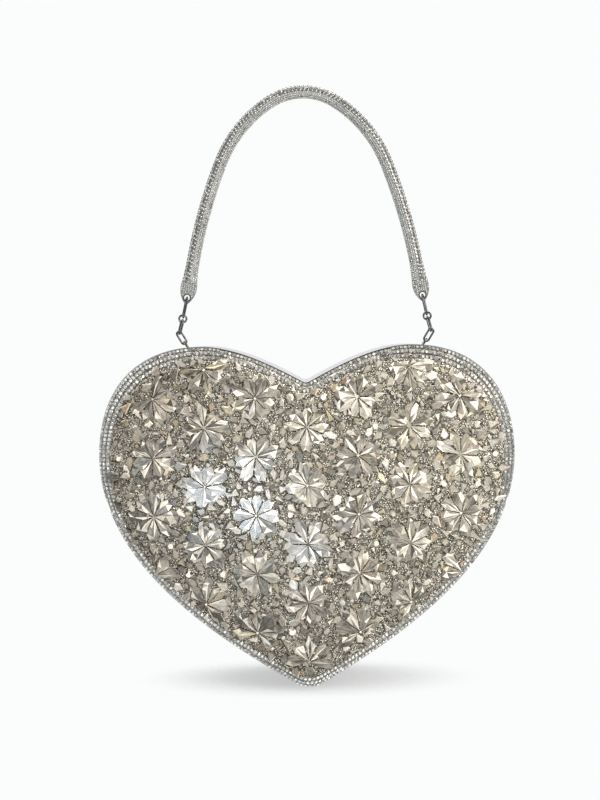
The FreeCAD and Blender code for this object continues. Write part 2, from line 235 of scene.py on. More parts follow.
def petalFacets(rng, count):
    # flat table seen through to the cut behind: a leaf along the middle, broad flanks, two tips round a notch
    faces = len(petalCut["faces"])
    shape = np.tile(petalCut["points"], (count, 1, 1))
    lean = rng.uniform(-0.35, 0.35, count)  # the leaf leans to one side
    thick = rng.uniform(0.12, 0.42, (count, 2)) * (-1, 1)  # and is broad or narrow
    shape[:, 1:3, 1] = lean[:, None] + thick
    shape[:, 1:3, 0] += rng.uniform(-0.12, 0.12, (count, 2))
    shape[:, 3, 1] = lean * 0.8
    shape[:, 3, 0] += rng.uniform(-0.07, 0.05, count)
    shape[:, 6:8, 0] += rng.uniform(-0.1, 0.06, (count, 2))
    shape[:, 6:8, 1] += rng.uniform(-0.18, 0.18, (count, 2))
    shape[:, 8, 0] += rng.uniform(-0.03, 0.1, count)
    shape[:, 8, 1] = lean * 0.5
    shape[:, 11:14, :2] = shape[:, [6, 8, 7], :2]
    rim = [0, 4, 5, 6, 7, 8, 15, 16]
    shape[:, rim, :2] += (np.array([0.55, 0]) - shape[:, rim, :2]) * 0.03  # bevel
    # painted reflection: each petal's body tone and its bright and dark facets stand in for the room seen in
    # the glass
    kind = rng.random(count)  # one petal in five is dark, one in eight pale
    body = np.where(kind < 0.2, rng.uniform(0.2, 0.3, count), rng.uniform(0.31, 0.45, count))
    body = np.where(kind > 0.88, rng.uniform(0.5, 0.62, count), body)[:, None]
    tone = body + rng.normal(0, 0.09, (count, faces))
    crown = petalCut["crown"]
    # chance of a bright and of a dark facet, in the order of the crown's faces
    bright = np.array([0.31, 0.31, 0.14, 0.14, 0.2, 0.2, 0.2, 0.2, 0.16, 0.16, 0.17, 0.17])
    dark = np.array([0.24, 0.24, 0.12, 0.12, 0.15, 0.15, 0.16, 0.16, 0.3, 0.3, 0.12, 0.12])
    pick = rng.random((count, crown))
    tone[:, :crown] = np.where(pick < bright, rng.uniform(0.66, 0.98, pick.shape), tone[:, :crown])
    tone[:, :crown] = np.where(pick > 1 - dark, rng.uniform(0.0, 0.22, pick.shape), tone[:, :crown])
    tone[:, crown:] = rng.uniform(0.35, 0.9, (count, faces - crown))
    hue = np.repeat(rng.random((count, 1)), faces, axis=1) * 0.6 + rng.random((count, faces)) * 0.4
    return dict(petalCut, points=shape), np.clip(tone, 0, 1), hue


def srgb(text):
    # sRGB hex to the linear colour that shaders take
    part = np.array([int(text[i:i + 2], 16) for i in (1, 3, 5)]) / 255
    return tuple(np.where(part <= 0.04045, part / 12.92, ((part + 0.055) / 1.055) ** 2.4)) + (1.0,)


def addNode(tree, kind, inputs=None, stops=(), **settings):
    # a node with its settings, each input linked or set, and the colour stops of a ramp
    made = tree.nodes.new("ShaderNode" + kind)
    for key, value in settings.items():
        setattr(made, key, value)
    for key, value in (inputs or {}).items():
        if isinstance(value, bpy.types.NodeSocket):
            tree.links.new(value, made.inputs[key])
        else:
            made.inputs[key].default_value = value
    if stops:
        elements = made.color_ramp.elements
        while len(elements) < len(stops):
            elements.new(0.5)
        for element, (at, shade) in zip(elements, stops):
            element.position = at
            element.color = srgb(shade)
    return made


def startMaterial(name):
    # an empty material and its node tree
    made = bpy.data.materials.new(name)
    made.use_nodes = True
    made.node_tree.nodes.clear()
    return made, made.node_tree


def endMaterial(made, inputs):
    # the surface that all the nodes before feed into
    tree = made.node_tree
    shader = addNode(tree, "BsdfPrincipled", inputs)
    addNode(tree, "OutputMaterial", {"Surface": shader.outputs["BSDF"]})
    return made


def perMm(size):
    # texture scale that repeats once in so many millimetres
    return 1000.0 / size


def platedMetal(name, light, dark, rough):
    # silver plate: grey clouding of the polish and faint rub marks
    made, tree = startMaterial(name)
    place = addNode(tree, "TexCoord").outputs["Object"]
    cloud = addNode(tree, "TexNoise", {"Vector": place, "Scale": perMm(9), "Detail": 4.0})
    rub = addNode(tree, "TexNoise", {"Vector": place, "Scale": perMm(1.1), "Detail": 3.0})
    colour = addNode(tree, "ValToRGB", {"Fac": cloud.outputs["Fac"]}, [(0.3, dark), (0.7, light)])
    grade = addNode(tree, "MapRange", {"Value": rub.outputs["Fac"], "To Min": rough * 0.7,
                                       "To Max": rough * 1.4})
    bump = addNode(tree, "Bump", {"Height": rub.outputs["Fac"], "Strength": 0.06, "Distance": 0.02 * mm})
    return endMaterial(made, {"Base Color": colour.outputs["Color"], "Metallic": 1.0,
                              "Roughness": grade.outputs["Result"], "Normal": bump.outputs["Normal"]})


def shadedEdgePlate(name, flank, top, metal, rough):
    # plate of the edge wire and stone cups, with painted shade and painted reflection: dark along the lobes,
    # paler down the flanks
    made, tree = startMaterial(name)
    place = addNode(tree, "TexCoord").outputs["Object"]
    height = addNode(tree, "SeparateXYZ", {"Vector": place}).outputs["Z"]
    climb = addNode(tree, "MapRange", {"Value": height, "From Min": heart["mid"] + 0.6 * heart["halfTall"],
                                       "From Max": heart["mid"] + 0.8 * heart["halfTall"]})
    colour = addNode(tree, "ValToRGB", {"Fac": climb.outputs["Result"]}, [(0.0, flank), (1.0, top)])
    return endMaterial(made, {"Base Color": colour.outputs["Color"], "Metallic": metal, "Roughness": rough,
                              "Specular IOR Level": 0.5 * metal})


def foiledCrystal(name, stops, metal, rough, coat):
    # foil-backed cut glass: each facet is painted one grey of the room as a painted reflection, mottled where
    # the foil shows through
    made, tree = startMaterial(name)
    tone = addNode(tree, "Attribute", attribute_name="facetTone").outputs["Fac"]
    hue = addNode(tree, "Attribute", attribute_name="facetHue").outputs["Fac"]
    cut = addNode(tree, "UVMap", uv_map="cutUv").outputs["UV"]
    place = addNode(tree, "TexCoord").outputs["Object"]
    drawn = addNode(tree, "Mapping", {"Vector": cut, "Scale": (1.8, 2.6, 1.0)})
    streak = addNode(tree, "TexNoise", {"Vector": drawn.outputs["Vector"], "Scale": 1.3, "Detail": 2.0})
    fleck = addNode(tree, "TexNoise", {"Vector": place, "Scale": perMm(0.9), "Detail": 2.0})
    # painted shading: streaks across each facet, drawn along the cut
    lines = addNode(tree, "MapRange", {"Value": streak.outputs["Fac"], "From Min": 0.3, "From Max": 0.7,
                                       "To Min": -0.15, "To Max": 0.15})
    spots = addNode(tree, "MapRange", {"Value": fleck.outputs["Fac"], "From Min": 0.3, "From Max": 0.7,
                                       "To Min": -0.06, "To Max": 0.06})
    shift = addNode(tree, "Math", {0: lines.outputs["Result"], 1: spots.outputs["Result"]}, operation="ADD")
    mixed = addNode(tree, "Math", {0: tone, 1: shift.outputs["Value"]}, operation="ADD", use_clamp=True)
    grey = addNode(tree, "ValToRGB", {"Fac": mixed.outputs["Value"]}, stops)
    tint = addNode(tree, "ValToRGB", {"Fac": hue}, tintStops)
    colour = addNode(tree, "Mix", {"Factor": 1.0, "A": grey.outputs["Color"], "B": tint.outputs["Color"]},
                     data_type="RGBA", blend_type="MULTIPLY")
    return endMaterial(made, {"Base Color": colour.outputs[2], "Metallic": metal, "Roughness": rough,
                              "IOR": 1.55, "Specular IOR Level": 0.2, "Coat Weight": coat,
                              "Coat Roughness": 0.18})


def metalFoilBase():
    # foil ground between the stones: small dark and bright flecks
    made, tree = startMaterial("stoneFoil")
    place = addNode(tree, "TexCoord").outputs["Object"]
    fleck = addNode(tree, "TexVoronoi", {"Vector": place, "Scale": perMm(0.9)})
    value = addNode(tree, "SeparateColor", {"Color": fleck.outputs["Color"]}).outputs["Red"]
    colour = addNode(tree, "ValToRGB", {"Fac": value}, [(0.0, "#4a463f"), (0.45, "#7d786d"), (0.8, "#aca698"),
                                                        (1.0, "#e4dfd2")])
    bump = addNode(tree, "Bump", {"Height": fleck.outputs["Distance"], "Strength": 0.5, "Distance": 0.2 * mm})
    return endMaterial(made, {"Base Color": colour.outputs["Color"], "Metallic": 0.3, "Roughness": 0.55,
                              "Normal": bump.outputs["Normal"]})


def silverLeather():
    # metallic leather: pebble grain with darker creases between the pebbles
    made, tree = startMaterial("silverLeather")
    place = addNode(tree, "TexCoord").outputs["Object"]
    grain = addNode(tree, "TexVoronoi", {"Vector": place, "Scale": perMm(1.4)}, feature="SMOOTH_F1")
    cloud = addNode(tree, "TexNoise", {"Vector": place, "Scale": perMm(22), "Detail": 5.0})
    crease = grain.outputs["Distance"]
    tone = addNode(tree, "ValToRGB", {"Fac": crease}, [(0.1, "#cfccc6"), (0.75, "#98958f")])
    wear = addNode(tree, "ValToRGB", {"Fac": cloud.outputs["Fac"]}, [(0.3, "#d9d6d0"), (0.7, "#ffffff")])
    colour = addNode(tree, "Mix", {"Factor": 1.0, "A": tone.outputs["Color"], "B": wear.outputs["Color"]},
                     data_type="RGBA", blend_type="MULTIPLY")
    bump = addNode(tree, "Bump", {"Height": crease, "Strength": 0.35, "Distance": -0.15 * mm})
    return endMaterial(made, {"Base Color": colour.outputs[2], "Metallic": 0.65, "Roughness": 0.42,
                              "Normal": bump.outputs["Normal"]})


def wovenSatin(name, light, dark, pitch):
    # close satin: fine thread lines with a soft sheen
    made, tree = startMaterial(name)
    place = addNode(tree, "TexCoord").outputs["Object"]
    thread = addNode(tree, "TexWave", {"Vector": place, "Scale": perMm(pitch) / 6.3,
                                       "Distortion": 1.5, "Detail": 2.0})
    cloud = addNode(tree, "TexNoise", {"Vector": place, "Scale": perMm(14), "Detail": 4.0})
    colour = addNode(tree, "ValToRGB", {"Fac": cloud.outputs["Fac"]}, [(0.3, dark), (0.7, light)])
    bump = addNode(tree, "Bump", {"Height": thread.outputs["Fac"], "Strength": 0.2, "Distance": 0.05 * mm})
    return endMaterial(made, {"Base Color": colour.outputs["Color"], "Roughness": 0.45, "Sheen Weight": 0.5,
                              "Normal": bump.outputs["Normal"]})


framePlate = platedMetal("framePlate", "#e2e2e1", "#d3d3d2", 0.14)
wirePlate = platedMetal("wirePlate", "#6d6d6b", "#4a4a49", 0.18)
# the cups and the rail carry painted shade by height: darker along the lobes, paler down the flanks
cupPlate = shadedEdgePlate("cupPlate", "#9b9792", "#67635e", 1.0, 0.45)
railPlate = shadedEdgePlate("railPlate", "#8b8986", "#2e2c2b", 0.0, 0.6)
magnetPlate = platedMetal("magnetPlate", "#b5b5b6", "#98989a", 0.3)
meshPlate = platedMetal("meshPlate", "#a3a2a0", "#7b7a78", 0.35)
crystalStops = [(0.0, "#2c2823"), (0.22, "#625c53"), (0.5, "#9a9286"), (0.75, "#c6beb1"), (1.0, "#f6f0e4")]
tintStops = [(0.0, "#f5ded0"), (0.1, "#f6f0d2"), (0.17, "#fffdf7"), (0.78, "#fffefb"), (0.86, "#ecf1f5"),
             (0.93, "#ebefe6"), (1.0, "#f3e4df")]
silverStops = [(0.0, "#333332"), (0.25, "#686867"), (0.55, "#9d9d9c"), (0.8, "#c9c9c7"), (1.0, "#f6f6f5")]
flowerGlass = foiledCrystal("flowerGlass", crystalStops, 0.0, 0.5, 1.0)
chipGlass = foiledCrystal("chipGlass", crystalStops, 0.0, 0.45, 1.0)
rowGlass = foiledCrystal("rowGlass", silverStops, 0.2, 0.3, 0.3)
stoneFoil = metalFoilBase()
leather = silverLeather()
satin = wovenSatin("satinLining", "#b3aeac", "#a09b99", 0.35)
cotton = wovenSatin("cordCotton", "#e6e3dd", "#d3cfc7", 0.8)
cadFinish = {
    framePlate: ["front_frame", "back_frame", "front_hinge_leaf", "back_hinge_leaf", "hinge_pin"],
    wirePlate: [hand + name for hand in ("left_", "right_")
                for name in ("eyelet", "upper_link", "ring", "lower_link", "bail", "lug")],
    stoneFoil: ["front_panel"],
    leather: ["back_panel"],
    satin: ["front_lining", "back_lining"],
    magnetPlate: ["front_magnet", "back_magnet"],
    meshPlate: ["left_strap_tab", "right_strap_tab"],
    cotton: ["handle_core"],
}
for finish, names in cadFinish.items():
    for name in names:
        nodes[name].data.materials.clear()
        nodes[name].data.materials.append(finish)
print("materials made")


def finishPiece(made, material, body, slot, *stoodFor):
    # material and body of a finished piece, and the nodes that it stands for, which are hidden
    made.data.materials.append(material)
    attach(made, body)
    if stoodFor:
        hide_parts(*stoodFor)


flower = {
    "column": 25.1 * mm, "row": 28.7 * mm, "topDrop": 39.8 * mm, "columns": 4, "rows": 6,
    "petals": 8, "reach": 12.9 * mm, "halfWide": 3.4 * mm, "height": 2.0 * mm, "rimInset": 6.6 * mm,
    "turn": 0.39, "shade": 0.035, "tilt": 0.013, "middle": 0.55,
    "reachSpread": (0.78, 1.06), "wideSpread": (0.7, 1.06), "highSpread": (0.92, 1.04),
}
columns = np.arange(-flower["columns"], flower["columns"] + 1)
rows = np.arange(-1, flower["rows"] + 1)
gridColumn, gridRow = [g.ravel() for g in np.meshgrid(columns, rows)]
flowerX = gridColumn * flower["column"]
flowerZ = heart["top"] - flower["topDrop"] + (gridColumn % 2) * flower["row"] / 2 - gridRow * flower["row"]
onHeart = panelInset(np.abs(flowerX), flowerZ) > 0.2 * mm
flowerX, flowerZ = flowerX[onHeart], flowerZ[onHeart]
petalTurn = np.arange(flower["petals"]) / flower["petals"] * 2 * np.pi + np.pi / 2
petalX = np.repeat(flowerX, flower["petals"])
petalZ = np.repeat(flowerZ, flower["petals"])
rng = np.random.default_rng(21)
flowerTurn = rng.uniform(-flower["turn"], flower["turn"], len(flowerX))
petalAngle = np.tile(petalTurn, len(flowerX)) + np.repeat(flowerTurn, flower["petals"])
petalShade = np.repeat(rng.normal(0, flower["shade"], len(flowerX)), flower["petals"])


def outAlong(x, z, angle, share):
    # the point at a share of the reach, out along a petal from its flower's middle
    return x + np.cos(angle) * flower["reach"] * share, z + np.sin(angle) * flower["reach"] * share


probes = [outAlong(petalX, petalZ, petalAngle, share) for share in (0.2, flower["middle"], 0.95)]
keep = np.all([panelInset(x, z) > flower["rimInset"] for x, z in probes], axis=0)
petalX, petalZ, petalAngle = petalX[keep], petalZ[keep], petalAngle[keep]
midX, midZ = outAlong(petalX, petalZ, petalAngle, flower["middle"])
petalFrames = panelFrames(midX, midZ, petalAngle, flower["tilt"], 5)
petalRoot = petalFrames[0] - petalFrames[1] * flower["reach"] * flower["middle"]
count = len(petalRoot)
petalReach = flower["reach"] * rng.uniform(*flower["reachSpread"], count)
petalHalf = flower["halfWide"] * rng.uniform(*flower["wideSpread"], count)
petalHigh = flower["height"] * rng.uniform(*flower["highSpread"], count)
shapes, tone, hue = petalFacets(rng, count)
tone = np.clip(tone + (roomShade(midX, midZ) + petalShade[keep])[:, None], 0, 1)
petals = setStones("flower_petals", shapes, (petalRoot,) + petalFrames[1:],
                   np.column_stack([petalReach, petalHalf, petalHigh]), tone, hue)
finishPiece(petals, flowerGlass, "lid_front", "flower_crystal", "flower_crystals")
print("petals", count)

centre = {"radius": 1.3 * mm, "height": 1.6 * mm, "inset": 9 * mm, "tilt": 0.1, "grey": 0.5, "dark": 0.35,
          "white": 0.25, "spread": 0.2, "tint": 0.8}
eyeCut = cutStone(7, 0.45, 0.35)
eyed = panelInset(flowerX, flowerZ) > centre["inset"]
eyeX, eyeZ = flowerX[eyed], flowerZ[eyed]
count = len(eyeX)
tone, hue = facets(rng, count, eyeCut, centre)
eyeFrames = panelFrames(eyeX, eyeZ, rng.uniform(0, 6, count), centre["tilt"], 6)
eyeSize = np.tile([centre["radius"], centre["radius"], centre["height"]], (count, 1))
eyes = setStones("flower_eyes", eyeCut, eyeFrames, eyeSize, tone, hue)
finishPiece(eyes, chipGlass, "lid_front", "accent_crystal", "flower_centres")


def petalCover(x, z, gap):
    # true where a point, measured along and aside of every petal, lies within the reach and width of one
    dx = x[:, None] - petalX[None]
    dz = z[:, None] - petalZ[None]
    along = dx * np.cos(petalAngle) + dz * np.sin(petalAngle)
    aside = np.abs(dz * np.cos(petalAngle) - dx * np.sin(petalAngle))
    width = np.interp(along / petalReach, [0.04, 0.65, 0.95, 1.0], [0, 1.0, 0.62, 0]) * petalHalf
    on = (along > 0.5 * mm) & (along < petalReach + gap) & (aside < width + gap)
    return on.any(axis=1)


def clearOf(x, z, otherX, otherZ, gap):
    # true where a point keeps further than the gap from all the others
    return (np.hypot(x[:, None] - otherX, z[:, None] - otherZ) > gap).all(axis=1)


accent = {"radius": 2.3 * mm, "height": 1.9 * mm, "inset": 9.4 * mm, "petalGap": 1.2 * mm, "tilt": 0.06,
          "growth": (0.8, 1.05), "grey": 0.52, "dark": 0.16, "white": 0.12, "spread": 0.16, "tint": 1.0}
accentX = np.concatenate([flowerX + hand * flower["column"] * 2 / 3 for hand in (1, -1)])
accentZ = np.concatenate([flowerZ, flowerZ])
fits = (panelInset(accentX, accentZ) > accent["inset"]) & ~petalCover(accentX, accentZ, accent["petalGap"])
accentX, accentZ = accentX[fits], accentZ[fits]
gemCut = cutStone(8, 0.55, 0.35)
count = len(accentX)
tone, hue = facets(rng, count, gemCut, accent)
accentHalf = accent["radius"] * rng.uniform(*accent["growth"], count)
accentSize = np.column_stack([accentHalf, accentHalf, np.full(count, accent["height"])])
accentFrames = panelFrames(accentX, accentZ, rng.uniform(0, 6, count), accent["tilt"], 7)
accents = setStones("accent_gems", gemCut, accentFrames, accentSize, tone, hue)
finishPiece(accents, chipGlass, "lid_front", "accent_crystal", "accent_stones")


def jittered(rng, pitch, jitter):
    # staggered grid over the heart's box, each point nudged
    stepX = np.arange(-heart["halfWide"], heart["halfWide"], pitch)
    stepZ = np.arange(rimLow.z, rimHigh.z, pitch * 0.87)
    gridX, gridZ = np.meshgrid(stepX, stepZ)
    gridX = gridX + (np.arange(len(stepZ)) % 2)[:, None] * pitch / 2
    return [g.ravel() + rng.normal(0, jitter, g.size) for g in (gridX, gridZ)]


chip = {"tries": 14000, "large": 3.0 * mm, "small": 1.0 * mm, "height": 1.9 * mm, "inset": 7.6 * mm,
        "petalShare": 0.12, "gemGap": 1.9 * mm, "gemShare": 0.8, "pack": 0.76, "tilt": 0.008,
        "longSpread": (0.9, 1.4), "wideSpread": (0.45, 0.95), "highSpread": (0.7, 1.2),
        "darkTo": 0.26, "paleFrom": 0.86, "dark": (0.2, 0.34), "grey": (0.38, 0.54), "pale": (0.6, 0.86),
        "steps": [0, 0.08, -0.1, 0.34, -0.28]}
chipX = rng.uniform(-heart["halfWide"], heart["halfWide"], chip["tries"])
chipZ = rng.uniform(rimLow.z, rimHigh.z, chip["tries"])
chipHalf = np.sort(chip["small"] + (chip["large"] - chip["small"]) * rng.random(chip["tries"]) ** 2)[::-1]
fits = panelInset(chipX, chipZ) > chip["inset"]
fits &= ~petalCover(chipX, chipZ, (chipHalf * chip["petalShare"])[:, None])
fits &= clearOf(chipX, chipZ, accentX, accentZ, chip["gemGap"] + chipHalf[:, None] * chip["gemShare"])
chipX, chipZ, chipHalf = chipX[fits], chipZ[fits], chipHalf[fits]
kept = []
for i in range(len(chipX)):  # largest first, each kept clear of the ones before
    apart = np.hypot(chipX[kept] - chipX[i], chipZ[kept] - chipZ[i])
    if (apart > (chipHalf[kept] + chipHalf[i]) * chip["pack"]).all():
        kept.append(i)
chipX, chipZ, chipHalf = chipX[kept], chipZ[kept], chipHalf[kept]
chipSides = rng.integers(3, 6, len(chipX))
for sides in (3, 4, 5):
    mine = chipSides == sides
    count = int(mine.sum())
    chipCut = cutStone(sides, 0.72, 0.7, 0.0, 0.4)
    faces = len(chipCut["faces"])
    # painted reflections: a dark, grey or pale body for each chip, its facets stepped lighter and darker,
    # plus the room's painted light
    pick = rng.random((count, 1))
    dark, grey = [rng.uniform(*chip[look], (count, 1)) for look in ("dark", "grey")]
    body = np.where(pick < chip["darkTo"], dark, grey)
    body = np.where(pick > chip["paleFrom"], rng.uniform(*chip["pale"], (count, 1)), body)
    tone = np.clip(body + rng.choice(chip["steps"], (count, faces)), 0, 1)
    tone[:, 0] = body[:, 0]
    tone = np.clip(tone + roomShade(chipX[mine], chipZ[mine])[:, None], 0, 1)
    hue = np.repeat(rng.random((count, 1)), faces, axis=1)
    chipSize = np.column_stack([chipHalf[mine] * rng.uniform(*chip["longSpread"], count),
                                chipHalf[mine] * rng.uniform(*chip["wideSpread"], count),
                                chip["height"] * rng.uniform(*chip["highSpread"], count)])
    chipFrames = panelFrames(chipX[mine], chipZ[mine], rng.uniform(0, 6, count), chip["tilt"], sides)
    chips = setStones("chips_%d" % sides, chipCut, chipFrames, chipSize, tone, hue)
    finishPiece(chips, chipGlass, "lid_front", "accent_crystal")

bead = {"pitch": 1.25 * mm, "jitter": 0.14 * mm, "half": 0.64 * mm, "height": 0.8 * mm, "inset": 7.0 * mm,
        "gemGap": 2.3 * mm, "chipShare": 0.72, "eyeGap": 1.5 * mm, "tilt": 0.22, "growth": (0.7, 1.25),
        "wideSpread": (0.75, 1.1), "highSpread": (0.5, 1.3), "grey": 0.74, "dark": 0.14, "white": 0.34,
        "spread": 0.2, "tint": 0.8, "drop": 0.4}
beadX, beadZ = jittered(rng, bead["pitch"], bead["jitter"])
fits = panelInset(beadX, beadZ) > bead["inset"]
beadX, beadZ = beadX[fits], beadZ[fits]
fits = ~petalCover(beadX, beadZ, 0.0)
fits &= clearOf(beadX, beadZ, accentX, accentZ, bead["gemGap"])
fits &= clearOf(beadX, beadZ, chipX, chipZ, chipHalf * bead["chipShare"])
fits &= clearOf(beadX, beadZ, eyeX, eyeZ, bead["eyeGap"])
beadX, beadZ = beadX[fits], beadZ[fits]
beadCut = cutStone(4, 0.55, 0.4)
count = len(beadX)
tone, hue = facets(rng, count, beadCut, bead)
tone = np.clip(tone + roomShade(beadX, beadZ)[:, None], 0, 1)
beadHalf = bead["half"] * rng.uniform(*bead["growth"], count)
beadSize = np.column_stack([beadHalf, beadHalf * rng.uniform(*bead["wideSpread"], count),
                            bead["height"] * rng.uniform(*bead["highSpread"], count)])
beadFrames = panelFrames(beadX, beadZ, rng.uniform(0, 6, count), bead["tilt"], 9)
beads = setStones("bead_fill", beadCut, beadFrames, beadSize, tone, hue)
finishPiece(beads, chipGlass, "lid_front", "stone_base")
print("accents", len(accentX), "chips", len(chipX), "beads", count)

# leftLift, rightDrop, crownDrop, tableDrop and lowLift are painted light and shade on the stones' facets
border = {"around": [1.6 * mm, 3.6 * mm, 5.8 * mm], "flank": [2.1 * mm, 5.7 * mm], "turnOff": 0.78,
          "pitch": 2.0 * mm, "half": 0.97 * mm, "rise": 0.8 * mm, "seat": 0.25 * mm, "cupShare": 0.8,
          "face": 1.3, "crownTone": 0.53, "tableTone": 0.6, "spread": 0.2, "leftLift": 0.13,
          "rightDrop": 0.08, "crownDrop": 0.1, "tableDrop": 0.12, "lowLift": 0.3, "hue": 0.47, "tint": 0.25,
          "rail": (3.0, 14.0), "railRise": 0.3 * mm, "railSteps": 5, "railCount": 520}


def rollFrame(turn, pitch=None, count=None):
    # a loop on the roll at one turn of its quarter ellipse, with its direction and normal
    inset = heart["ledge"] + heart["roll"] * (1 - math.cos(turn))
    at, along, out = heartLoop(inset, pitch, count)
    at = at + (0, heart["edge"] - heart["crown"] * math.sin(turn), 0)
    ahead = forward * heart["roll"] * math.sin(turn)
    return at, along, unit(out * heart["crown"] * math.cos(turn) + ahead)


def gridMesh(name, grid):
    # quads between neighbouring points of a grid whose rows close on themselves
    rings, around = grid.shape[:2]
    ring = np.arange(rings - 1)[:, None] * around
    step = np.arange(around)[None]
    after = (step + 1) % around
    corners = [ring + step, ring + after, ring + around + after, ring + around + step]
    quads = np.stack(corners, axis=-1).reshape(-1, 4)
    mesh = bpy.data.meshes.new(name)
    mesh.from_pydata(grid.reshape(-1, 3), [], quads.tolist())
    mesh.polygons.foreach_set("use_smooth", np.ones(len(quads), bool))
    mesh.update()
    made = bpy.data.objects.new(name, mesh)
    bpy.context.scene.collection.objects.link(made)
    return made


rowPlaces, rowAims, rowSides, rowNormals, rowWidths = [], [], [], [], []
for inset, flank in [(i, False) for i in border["around"]] + [(i, True) for i in border["flank"]]:
    turn = math.acos(1 - (inset - heart["ledge"]) / heart["roll"])
    at, along, face = rollFrame(turn, border["pitch"])
    face = unit(face + forward * border["face"])
    aside = np.cross(face, along)
    spot = (at - (0, 0, heart["mid"])) / (heart["halfWide"], 1, heart["halfTall"])
    apart = np.abs(np.sum(spot * aside * (1, 0, 1), axis=1))
    mine = (apart < border["turnOff"]) == flank  # rows close up along the flanks: two there, three elsewhere
    for group, values in zip((rowPlaces, rowAims, rowSides, rowNormals), (at, along, aside, face)):
        group.append(values[mine])
    rowWidths.append(np.where(flank, 1.0, np.clip(apart[mine], 0, 1)))
rowRoom = np.concatenate(rowWidths)
rowFrames = tuple(np.vstack(g) for g in (rowPlaces, rowAims, rowSides, rowNormals))
roundCut = cutStone(8, 0.62, 0.6, 0.5)
count = len(rowRoom)
faces = len(roundCut["faces"])
sideways = rowFrames[0][:, 0] / heart["halfWide"]
upward = (rowFrames[0][:, 2] - heart["mid"]) / heart["halfTall"]
above, below = np.clip(upward, 0, 1), np.clip(-upward, 0, 1)
# painted light: stones on the left flank lighter and on the right flank darker, growing towards each side
flankPaintedLight = np.where(sideways < 0, border["leftLift"], -border["rightDrop"]) * sideways ** 2
tone = rng.normal(border["crownTone"], border["spread"], (count, faces)) + flankPaintedLight[:, None]
# painted shade: crown facets darker towards the top of the lobes
tone -= border["crownDrop"] * above[:, None]
# painted reflection: tables paler low down, where they face the floor, and darker towards the top
shine = border["tableTone"] + border["lowLift"] * below - border["tableDrop"] * above + flankPaintedLight
tone[:, 0] = rng.normal(shine, border["spread"])
tone = np.clip(tone, 0, 1)
hue = border["hue"] + (rng.random((count, faces)) - 0.5) * border["tint"]
same = np.ones(count)
rowSize = np.column_stack([border["half"] * same, border["half"] * rowRoom, border["rise"] * same])
seated = rowFrames[0] + rowFrames[3] * border["seat"]
rowStones = setStones("border_stones", roundCut, (seated,) + rowFrames[1:], rowSize, tone, hue)
finishPiece(rowStones, rowGlass, "lid_front", "cup_chain", "border_band")
cupCut = cutStone(4, 0.9, 0.9, 0.5)
cupHalf = border["half"] * math.sqrt(2)
cupSize = np.column_stack([cupHalf * same, cupHalf * rowRoom, border["rise"] * border["cupShare"] * same])
blank = np.zeros((count, len(cupCut["faces"])))
rowCups = setStones("border_cups", cupCut, rowFrames, cupSize, blank, blank)
finishPiece(rowCups, cupPlate, "lid_front", "cup_chain")
railTurns = np.radians(np.linspace(*border["rail"], border["railSteps"]))
railLift = border["railRise"] * np.sin(np.linspace(0, np.pi, border["railSteps"])) ** 0.5
railLoops = [rollFrame(turn, count=border["railCount"]) for turn in railTurns]
railGrid = np.stack([at + face * up for (at, along, face), up in zip(railLoops, railLift)])
finishPiece(gridMesh("border_rail", railGrid), railPlate, "lid_front", "cup_chain")
print("border", count)

strap = {"radius": 3.4 * mm, "arcs": [(31.4, 33.2), (67.2, 35.2), (277.0, 11.3)], "flare": 9.0 * mm,
         "flareHalf": (4.0 * mm, 1.5 * mm), "tab": 11.9 * mm, "rows": 18, "pitch": 1.0 * mm,
         "stone": (0.52 * mm, 0.55 * mm), "bed": 0.4 * mm, "sink": 0.06 * mm, "meshGrid": (320, 28),
         "fineSteps": 6001, "grey": 0.65, "dark": 0.04, "white": 0.08, "spread": 0.07, "tint": 0.12,
         "seam": 3, "seamTone": 0.4, "roped": [0, 1, 3, 4], "ropeTone": (0.1, -0.4)}
arcRuns = [math.radians(t) * r * mm for r, t in strap["arcs"]] + [strap["flare"]]
arcEnds = np.concatenate([[0], np.cumsum(arcRuns)])
arcTurns = np.radians(np.cumsum([0] + [t for _, t in strap["arcs"]] + [0]))
fineRun = np.linspace(0, arcEnds[-1], strap["fineSteps"])
fineTurn = np.interp(fineRun, arcEnds, arcTurns)
fineStep = np.diff(fineRun)
fineMid = (fineTurn[1:] + fineTurn[:-1]) / 2
fineX = np.concatenate([[0], np.cumsum(np.cos(fineMid) * fineStep)])
fineZ = strap["radius"] - np.concatenate([[0], np.cumsum(np.sin(fineMid) * fineStep)])


def strapSurface(shrink, run, turn):
    # tube round the centre line, flattened to an oval along the flare; the run is signed from the crown
    away = np.abs(run)
    heading = np.interp(away, fineRun, fineTurn) * np.sign(run)
    share = np.clip((away - arcEnds[-2]) / strap["flare"], 0, 1)[..., None]
    wide = strap["radius"] + (strap["flareHalf"][0] - strap["radius"]) * share - shrink
    deep = strap["radius"] + (strap["flareHalf"][1] - strap["radius"]) * share - shrink
    coreX = np.interp(away, fineRun, fineX) * np.sign(run)
    core = np.stack([coreX, 0 * run, np.interp(away, fineRun, fineZ)], axis=-1)
    along = np.stack([np.cos(heading), 0 * run, -np.sin(heading)], axis=-1)
    across = np.stack([np.sin(heading), 0 * run, np.cos(heading)], axis=-1)
    c, s = np.cos(turn)[..., None], np.sin(turn)[..., None]
    return core + c * wide * across + s * deep * forward, along, unit(c * deep * across + s * wide * forward)


